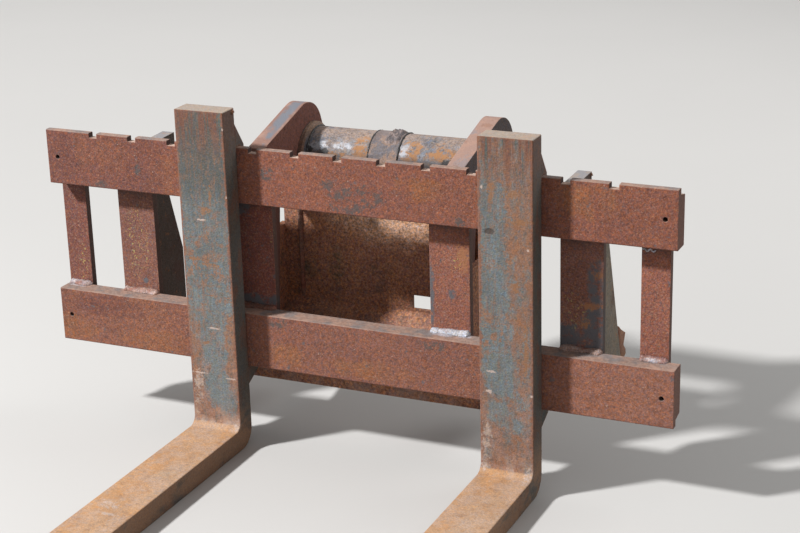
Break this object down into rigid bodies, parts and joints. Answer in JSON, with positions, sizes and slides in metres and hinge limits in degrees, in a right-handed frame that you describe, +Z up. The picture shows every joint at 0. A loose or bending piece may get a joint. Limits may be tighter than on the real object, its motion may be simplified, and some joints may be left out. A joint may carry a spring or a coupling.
{
  "type": "pallet fork carriage",
  "caption": "Rusty pallet fork carriage: notched hook rails, posts, a hitch tube held between two ears, and forks that slide along the rails.",
  "frame": {"origin": "centre of the part's bounding box, at the ground under the blades", "axes": "+X along the rails to the right as seen from the fork tips, +Y from the fork tips to the hitch, +Z up"},
  "size_m": [1.475, 1.6184, 0.782],
  "materials": {
    "rail_rust": "matt red-brown rust with fine specks",
    "post_rust": "dark rust with paint remains",
    "plate_rust": "dark rust and grime",
    "ear_paint": "rubbed paint over rust",
    "tube_steel": "rubbed bare steel with orange rust and grease",
    "fork_steel": "mill scale and rust streaks"
  },
  "bodies": {
    "carriage": {"upper_rail": "rail_rust", "lower_rail": "rail_rust", "left_end_post": "post_rust", "right_end_post": "post_rust", "left_outer_post": "post_rust", "right_outer_post": "post_rust", "left_inner_post": "post_rust", "right_inner_post": "post_rust", "left_rib": "plate_rust", "right_rib": "plate_rust", "left_gusset": "plate_rust", "right_gusset": "plate_rust", "left_ear": "ear_paint", "right_ear": "ear_paint", "left_side_plate": "plate_rust", "right_side_plate": "plate_rust", "hitch_tube": "tube_steel", "left_ring": "tube_steel", "right_ring": "tube_steel", "tube_collar": "tube_steel", "back_plate": "plate_rust", "bottom_beam": "plate_rust"},
    "fork_left": {"left_fork": "fork_steel", "left_fork_upper_hook": "fork_steel", "left_fork_lower_hook": "fork_steel"},
    "fork_right": {"right_fork": "fork_steel", "right_fork_upper_hook": "fork_steel", "right_fork_lower_hook": "fork_steel"}
  },
  "joints": [
    {"name": "left_fork_slide", "type": "slide", "parent": "carriage", "child": "fork_left", "axis": [1, 0, 0], "range_m": [-0.3108, 0.1972]},
    {"name": "right_fork_slide", "type": "slide", "parent": "carriage", "child": "fork_right", "axis": [1, 0, 0], "range_m": [-0.2983, 0.2097]}
  ]
}
